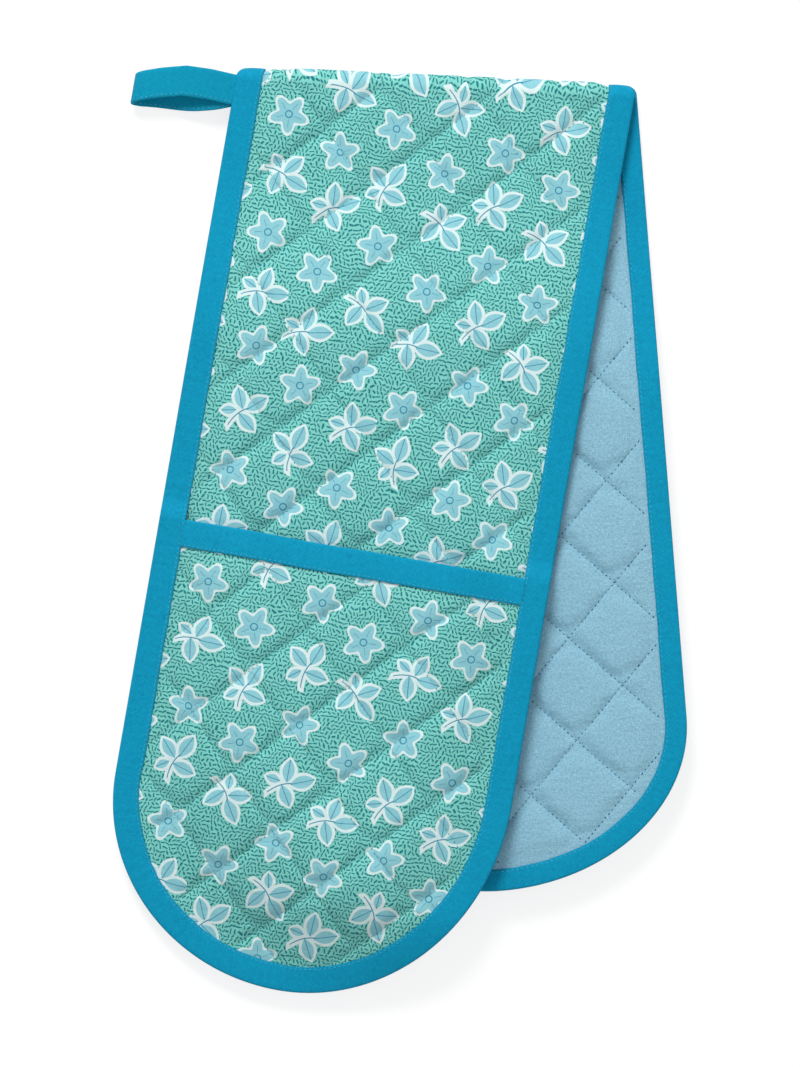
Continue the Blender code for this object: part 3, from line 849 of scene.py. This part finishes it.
# The tapes round the edges
def smooth_section(top, bottom, leg_up, leg_down):
    """The section of a folded tape: places in from the edge, and heights, round a soft outer edge."""
    outer_top, outer_low = top + TAPE, -bottom - TAPE
    turn, puff_up, puff_down = 0.0011, 0.00022, 0.00015
    quarter = [math.radians(90) * step / 4 for step in range(5)]
    points = [(leg_up + 0.0001, top + 0.0002), (leg_up, outer_top - 0.0001), (leg_up - 0.0004, outer_top)]
    for share in (0.85, 0.7, 0.5, 0.3, 0.15):
        points.append((leg_up * share, outer_top + puff_up * math.sin(math.pi * share)))
    for angle in quarter:
        points.append((turn - BOUND - turn * math.sin(angle), outer_top - turn * (1 - math.cos(angle))))
    for angle in quarter:
        points.append((turn - BOUND - turn * math.cos(angle), outer_low + turn * (1 - math.sin(angle))))
    for share in (0.2, 0.45, 0.7, 0.9):
        points.append((leg_down * share, outer_low - puff_down * math.sin(math.pi * share)))
    points += [(leg_down, outer_low + 0.0001), (leg_down + 0.0001, -bottom - 0.0002)]
    points += [(leg_down - 0.0002, -bottom), (0.0, -bottom), (-GAP, -bottom + 0.0003)]
    points += [(-GAP, top - 0.0003), (0.0, top), (leg_up - 0.0002, top)]
    return points


def rim_path(sign):
    """Stations round one half's outline, from the fold on the left, round the tip, to the right.

    A station is a place (u, s) and the way in from there, which runs along the fold beside the fold.
    """
    spacing, close_spacing, close_run, fade_run = 0.0022, 0.0007, 0.014, 0.02
    length, left, right = (float(size) for size in sizes_of(sign))
    both = []
    for side, reach in ((-1, left), (1, right)):
        begin = on_cut(side * HALF_WIDTH, BEND_HALF)
        end = sign * (length - reach)
        count = int((abs(end - begin) - close_run) / spacing)
        close = begin + sign * np.arange(round(close_run / close_spacing)) * close_spacing
        line = []
        for s in np.concatenate([close, np.linspace(begin + sign * close_run, end, count, endpoint=False)]):
            fade = max(0.0, 1 - abs(s - begin) / fade_run)
            line.append((side * HALF_WIDTH, s, -side, -side * SIN_LEAN / COS_LEAN * fade))
        steps = int(math.pi / 2 * (reach + HALF_WIDTH) / 2 / spacing)
        for i in range(steps + 1):
            turn = math.radians(90) * i / steps
            across, along = side * math.cos(turn), math.sin(turn)
            way = Vector((-across * reach, -along * HALF_WIDTH)).normalized()
            line.append((across * HALF_WIDTH, sign * (length - reach + along * reach), way.x, sign * way.y))
        both.append(line)
    return np.array(both[0] + both[1][-2::-1])


def tape_round(name, path, mouth):
    """The folded tape along a path of stations, and the lines its edge stitching follows."""
    count = len(path)
    climb_start, climb_run = mouth - 0.010, 0.0094
    top = FLAT_HALF + GAP + RIM_LIFT * ease((np.abs(path[:, 1]) - climb_start) / climb_run)
    wander = 0.00045 * rough(path[:, :2], 0.030, 21.0) + 0.0002 * rough(path[:, :2], 0.008, 23.0)
    size = len(smooth_section(0, 0, 1, 1))
    rings = np.empty((count, size, 2))
    for i in range(count):
        rings[i] = smooth_section(top[i], FLAT_HALF + GAP, LEG_PRINTED + wander[i], LEG_PLAIN + wander[i])
    u = path[:, None, 0] + path[:, None, 2] * rings[:, :, 0]
    s = path[:, None, 1] + path[:, None, 3] * rings[:, :, 0]
    points = place(u.ravel(), s.ravel(), rings[:, :, 1].ravel())
    along = walked(path[:, :2])
    flat = np.stack([np.tile(walked(rings[0]), count), np.repeat(along, size)], axis=1)
    made = turned_out(new_object(name, points, tube_faces(count, size), flat, [BINDING]))
    lines = []
    plain_height = np.full(count, -(FLAT_HALF + GAP + TAPE + 0.00003))
    for leg, height in ((LEG_PRINTED, top + TAPE + 0.00005), (LEG_PLAIN, plain_height)):
        offset = leg + wander - EDGE_STITCH_INSET
        us = path[:, 0] + path[:, 2] * offset
        ss = path[:, 1] + path[:, 3] * offset
        lines.append((us, ss, height))
    return made, lines, along[-1]


def stitches(name, lines, kind, setting):
    """Rows of thread stitches. Each line is (points, normals) at close steps along the cloth."""
    period, length, width, proud, drop = setting
    ends_wide, base_low, ridge_high = 0.55, 0.3, 0.2
    points, faces, flat = [], [], []
    for line, normals in lines:
        along = walked(line)
        for i in range(int(along[-1] / period)):
            start = (i + 0.2) * period
            marks = np.array([start, start + length * 0.25, start + length * 0.75, start + length])
            at = np.stack([np.interp(marks, along, line[:, k]) for k in range(3)], axis=1)
            up = np.stack([np.interp(marks, along, normals[:, k]) for k in range(3)], axis=1)
            up /= np.linalg.norm(up, axis=1)[:, None]
            way = at[-1] - at[0]
            way /= np.linalg.norm(way) + 1e-12
            side = np.cross(way, up)
            side /= np.linalg.norm(side, axis=1)[:, None]
            first = len(points)
            end, middle = (-drop, ends_wide), (proud, 1.0)
            for k, (rise, wide) in enumerate((end, middle, middle, end)):
                base = at[k] + up[k] * rise
                half = side[k] * width / 2 * wide
                low = up[k] * width * base_low
                points += [base - half - low, base + up[k] * width * ridge_high, base + half - low]
                flat += [(marks[k], 0.0), (marks[k], 0.0003), (marks[k], 0.0006)]
            for k in range(3):
                for j in range(3):
                    a, b = first + 3 * k + j, first + 3 * k + (j + 1) % 3
                    faces.append((a, b, b + 3, a + 3))
            faces.append((first + 2, first + 1, first))
            faces.append((first + 9, first + 10, first + 11))
    return turned_out(new_object(name, points, faces, flat, [kind]))


def cloth_line(us, ss, height, face, level=0.0):
    """A line on the cloth as points in space with the way out of the cloth."""
    at = place(us, ss, level + height)
    up = place(us, ss, level + height + face * 0.0005) - at
    up /= np.maximum(np.linalg.norm(up, axis=1), 1e-9)[:, None]
    return at, up


front_tape, front_lines, front_run = tape_round("front_edge_tape", rim_path(-1), FRONT_MOUTH)
rear_tape, rear_lines, rear_run = tape_round("rear_edge_tape", rim_path(1), REAR_MOUTH)


def edge_stitching(name, lines):
    on_cloth = [cloth_line(us, ss, height, face) for (us, ss, height), face in zip(lines, (1, -1))]
    return stitches(name, on_cloth, EDGE_THREAD, EDGE_STITCH)


front_edge_stitches = edge_stitching("front_edge_stitches", front_lines)
rear_edge_stitches = edge_stitching("rear_edge_stitches", rear_lines)


def mouth_tape(name, sign, mouth):
    """The tape along a pocket's mouth, and its stitching."""
    end = HALF_WIDTH - LEG_PRINTED + QUILT_INSET
    us = np.linspace(end, -end, 90)
    section = np.array(smooth_section(FLAT_HALF + GAP, FLAT_HALF + GAP, BAND_LEG, LEG_PLAIN))
    size = len(section)
    level = pocket_level(us, np.full(len(us), sign * mouth))
    bow = 0.0004 * rough(np.stack([us, us * 0], axis=1), 0.035, 31.0)
    u = np.repeat(us, size)
    offset = np.tile(section[:, 0], len(us)) + np.repeat(bow, size)
    points = place(u, sign * (mouth + offset), np.repeat(level, size) + np.tile(section[:, 1], len(us)))
    flat = np.stack([np.tile(walked(section), len(us)), u], axis=1)
    made = turned_out(new_object(name, points, tube_faces(len(us), size), flat, [BAND]))
    lines = []
    for leg, face in ((BAND_LEG, 1), (LEG_PLAIN, -1)):
        ss = sign * (mouth + leg - EDGE_STITCH_INSET + bow)
        lines.append(cloth_line(us, ss, face * (FLAT_HALF + GAP + TAPE + 0.00004), face, level))
    return made, stitches(name + "_stitches", lines, EDGE_THREAD, EDGE_STITCH)


front_band, front_band_stitches = mouth_tape("front_mouth_tape", -1, FRONT_MOUTH)
rear_band, rear_band_stitches = mouth_tape("rear_mouth_tape", 1, REAR_MOUTH)


def quilting_lines(to_us, keep, heights, level, face):
    """The stitched lines of a quilted panel that show on one of its faces."""
    found = []
    fewest = 4
    t = np.arange(-LAST_LINE, LAST_LINE, 0.04)
    for fixed in range(-LAST_LINE, LAST_LINE, 2):
        for a, b in ((np.full(len(t), float(fixed)), t), (t, np.full(len(t), float(fixed)))):
            u, s = to_us(a, b)
            where = np.flatnonzero(keep(u, s))
            for run in np.split(where, np.flatnonzero(np.diff(where) > 1) + 1):
                if len(run) < fewest:
                    continue
                uu, ss = u[run], s[run]
                outer, inner, puff, one, other = heights(uu, ss)
                most = outer if face > 0 else inner
                rise = soft_cap(most * puff * START_RISE, most)
                fill = fold_fill(uu, ss) if face > 0 else 0.0
                h = face * (FLAT_HALF - groove(most, one, other) + rise + fill + 0.00005)
                found.append(cloth_line(uu, ss, h, face, level(uu, ss)))
    return found


def strip_stitches(name, low, high, leg, face, thread):
    """The quilting stitches on one face of the strip, between two places past the fold."""
    keep = on_strip(leg + STITCH_CLEARANCE, low, high)
    return stitches(name, quilting_lines(strip_us, keep, strip_heights, zero, face), thread, QUILT_STITCH)


def pocket_stitches(name):
    sign, mouth, to_us, heights = pockets[name]
    keep = on_pocket(sign, LEG_PRINTED + STITCH_CLEARANCE, mouth + BAND_LEG + STITCH_CLEARANCE)
    lines = quilting_lines(to_us, keep, heights, pocket_level, 1)
    return stitches(name + "_pocket_stitches", lines, PRINT_THREAD, QUILT_STITCH)


PAST_FRONT_TIP = -0.45
PAST_REAR_TIP = 0.4
PAST_FRONT_MOUTH = -FRONT_MOUTH - 0.012
PAST_REAR_MOUTH = REAR_MOUTH + 0.012
front_lining_stitches, rear_lining_stitches, front_print_stitches, rear_print_stitches = (
    strip_stitches(*row)
    for row in (
        ("front_lining_stitches", PAST_FRONT_TIP, -BEND_HALF, LEG_PLAIN, -1, QUILT_THREAD),
        ("rear_lining_stitches", BEND_HALF, PAST_REAR_TIP, LEG_PLAIN, -1, QUILT_THREAD),
        ("front_print_stitches", PAST_FRONT_MOUTH, BEND_HALF, LEG_PRINTED, 1, PRINT_THREAD),
        ("rear_print_stitches", BEND_HALF, PAST_REAR_MOUTH, LEG_PRINTED, 1, PRINT_THREAD),
    )
)
front_pocket_stitches = pocket_stitches("front")
rear_pocket_stitches = pocket_stitches("rear")


# The hanging loop
ALONG_EDGE = np.array([SIN_LEAN / COS_LEAN, 1.0, 0.0])


def beside_seam(out, across, up):
    """Points out from the loop's seam, across its tape and up from the seam."""
    x = SEAM_X - out - across * SIN_LEAN / COS_LEAN
    return np.stack(np.broadcast_arrays(x - MIDDLE_X, HINGE_Y - 2 * GAP - across, FRONT_LOW + up), axis=-1)


def loop_line(steps=28):
    """The line of the loop's tape, as places out from its seam and heights over the seam."""
    centre_out = LOOP_REACH - LOOP_TAPE / 2 - LOOP_END_RADIUS
    centre_up = LOOP_TAPE / 2 + LOOP_END_RADIUS - FRONT_LOW
    root = (LOOP_TAPE + GAP) / 2
    sewn = (LOOP_SEWN_OUT * np.array([1.0, 0.5, 0.35, 0.1])) / centre_out
    shares = np.concatenate([sewn, np.arange(steps) / steps])
    out = centre_out * shares
    arch = LOOP_ARCH * np.sin(np.pi * np.maximum(shares, 0.0))
    up = root + (centre_up + LOOP_END_RADIUS - root) * ease(shares) + arch
    first = np.stack([out, up], axis=1)
    turn = np.pi * (np.linspace(0, 1, 17) - 0.5)
    end_out, end_up = LOOP_END_RADIUS * np.cos(turn), LOOP_END_RADIUS * np.sin(turn)
    end = np.stack([centre_out + end_out, centre_up - end_up], axis=1)
    back = shares[::-1]
    out = centre_out * back
    last = np.stack([out, (centre_up - LOOP_END_RADIUS + root) * ease(back) - root], axis=1)
    return np.concatenate([first, end, last])


def loop_piece():
    """The loop's ribbon of folded tape, and the stitching along its open edge."""
    line = loop_line()
    count = len(line)
    way = np.gradient(line, axis=0)
    way /= np.linalg.norm(way, axis=1)[:, None]
    share = np.arange(count) / count
    reach = np.maximum(line[:, 0], 0.0) / LOOP_REACH
    upper = np.interp(reach, LOOP_PLACES, UPPER_LIFT)
    lower = np.interp(reach, LOOP_PLACES, LOWER_LIFT)
    lifted = upper + (lower - upper) * ease((share - 0.40) / 0.20)
    spread = LOOP_SPREAD * ease(2 * share - 1) * np.sin(np.pi * reach) - lifted
    half = LOOP_TAPE / 2
    inset = 0.0004
    section = [(across, half) for across in np.linspace(inset, LOOP_WIDTH - inset, 9)]
    section += [(LOOP_WIDTH, half * 0.5), (LOOP_WIDTH, -half * 0.5)]
    section += [(across, -half) for across in np.linspace(LOOP_WIDTH - inset, inset, 9)]
    section += [(0.0, -half * 0.5), (0.0, half * 0.5)]
    size = len(section)
    rings = []
    for i in range(count):
        # The sewn end is trimmed where it would reach past the fold
        trim = lifted[i] if line[i, 0] < LOOP_SEWN_OUT * 0.4 else 0.0
        for across, side in section:
            across = trim + across * (1 - trim / LOOP_WIDTH)
            point = beside_seam(line[i, 0] - side * way[i, 1], across, line[i, 1] + side * way[i, 0])
            rings.append(point - spread[i] * ALONG_EDGE)
    points = np.array(rings)
    points[:, 2] = np.maximum(points[:, 2], TABLE_GAP)
    along = walked(line)
    flat = np.stack([np.tile([p[0] for p in section], count), np.repeat(along, size)], axis=1)
    ribbon = new_object("hanging_loop_ribbon", points, tube_faces(count, size), flat, [RIBBON])
    made = turned_out(ribbon)
    lines = []
    for face in (1, -1):
        side = face * (half + 0.00003)
        stitched_at = LOOP_WIDTH - 0.0013
        at = beside_seam(line[:, 0] - side * way[:, 1], stitched_at, line[:, 1] + side * way[:, 0])
        at = at - spread[:, None] * ALONG_EDGE
        up = np.stack([way[:, 1] * face, np.zeros(count), way[:, 0] * face], axis=1)
        lines.append((at, up))
    return made, stitches("hanging_loop_stitches", lines, EDGE_THREAD, EDGE_STITCH), along[-1]


loop_ribbon, loop_stitches, loop_run = loop_piece()

# What stands for which solids, and what moves with what
front_layers = ("front_outer_cover", "front_wadding", "front_lining")
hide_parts(*front_layers, "fold_outer_cover", "fold_wadding", "fold_lining")
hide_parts("rear_outer_cover", "rear_wadding", "rear_lining")
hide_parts("front_pocket_outer_cover", "front_pocket_wadding", "front_pocket_lining")
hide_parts("rear_pocket_outer_cover", "rear_pocket_wadding", "rear_pocket_lining")
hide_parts("front_edge_binding", "fold_binding_left", "fold_binding_right")
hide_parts("rear_edge_binding")
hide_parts("front_pocket_mouth_binding")
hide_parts("rear_pocket_mouth_binding")
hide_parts("hanging_loop", "loop_root")

for (low, run), pieces in (
    (QUILT_BLEND, (front_quilt, front_lining_stitches, front_print_stitches)),
    (TAPE_BLEND, (front_tape, front_edge_stitches)),
):
    start, end = (0.0, HINGE_Y, low), (0.0, HINGE_Y - BLEND_SLANT * run, low + run)
    for piece in pieces:
        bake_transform(piece)
for piece in (front_pocket, front_pocket_stitches, front_band, front_band_stitches):
    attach(piece, "front_half")
rear_strip = (rear_quilt, rear_tape, rear_edge_stitches, rear_lining_stitches, rear_print_stitches)
for piece in (*rear_strip, rear_pocket, rear_pocket_stitches, rear_band, rear_band_stitches):
    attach(piece, "rear_half")
seam = beside_seam(0.0, LOOP_WIDTH / 2, 0.0)
for piece in (loop_ribbon, loop_stitches):
    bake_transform(piece)

# The floor, the light and the camera
WHITE = (1.0, 1.0, 1.0, 1.0)
FLOOR_HALF = 4
FLOOR_Z = -0.0003
# Socket, gain for camera rays and value for other rays: the floor glows where it is seen directly
FLOOR_LEVELS = (("Emission Strength", 0.78, 0.0), ("Base Color", -0.62, 0.9))
mesh = bpy.data.meshes.new("floor")
corners = [(x * FLOOR_HALF, y * FLOOR_HALF, FLOOR_Z) for x, y in ((-1, -1), (1, -1), (1, 1), (-1, 1))]
mesh.from_pydata(corners, [], [(0, 1, 2, 3)])
floor = linked("floor", mesh)
pale = Nodes("pale_floor")
seen = pale.tree.nodes.new("ShaderNodeLightPath").outputs["Is Camera Ray"]
for socket, gain, start in FLOOR_LEVELS:
    pale.put(pale.shader, socket, pale.fit(seen, gain, start))
for socket, value in (("Emission Color", WHITE), ("Roughness", 0.9), ("Specular IOR Level", 0.0)):
    pale.put(pale.shader, socket, value)
mesh.materials.append(pale.material)


def lamp(name, at, size, power):
    """A round lamp that shines at the glove's middle."""
    data = bpy.data.lights.new(name, "AREA")
    data.shape = "DISK"
    data.size = size
    data.energy = power
    made = linked(name, data)
    made.location = at
    made.rotation_euler = (-Vector(at)).to_track_quat("-Z", "Y").to_euler()


lamp("key", (-0.675, 2.25, 2.25), 1.2, 81.0)
lamp("fill", (0.6, -0.5, 1.9), 1.8, 6.0)
world = bpy.data.worlds.new("studio")
world.use_nodes = True
sky = world.node_tree.nodes["Background"]
sky.inputs["Color"].default_value = WHITE
sky.inputs["Strength"].default_value = 0.42
bpy.context.scene.world = world

# The camera looks straight down. The fold's middle lies at its pixel in the photograph
METRES_PER_PIXEL = 0.0004598
PHOTO_WIDE, PHOTO_TALL = 800, 1067
FOLD_COLUMN, FOLD_ROW = 437, 77
FOLD_AT = Vector((-MIDDLE_X, HINGE_Y + 0.0056, 0.0))
ROLL = math.radians(2.65)
SENSOR = 36.0
DISTANCE = 8.0
SHARP_Z = 0.008
right = Vector((math.cos(ROLL), math.sin(ROLL), 0))
up = Vector((-math.sin(ROLL), math.cos(ROLL), 0))
pixels_right, pixels_down = PHOTO_WIDE / 2 - FOLD_COLUMN, PHOTO_TALL / 2 - FOLD_ROW
centre = FOLD_AT + right * pixels_right * METRES_PER_PIXEL - up * pixels_down * METRES_PER_PIXEL
camera_data = bpy.data.cameras.new("camera")
camera_data.sensor_fit = "VERTICAL"
camera_data.sensor_height = SENSOR
camera_data.lens = SENSOR * (DISTANCE - SHARP_Z) / (PHOTO_TALL * METRES_PER_PIXEL)
camera = linked("camera", camera_data)
camera.location = (centre.x, centre.y, DISTANCE)
camera.rotation_euler = (0.0, 0.0, ROLL)
bpy.context.scene.camera = camera
bpy.context.scene.view_settings.view_transform = "Standard"
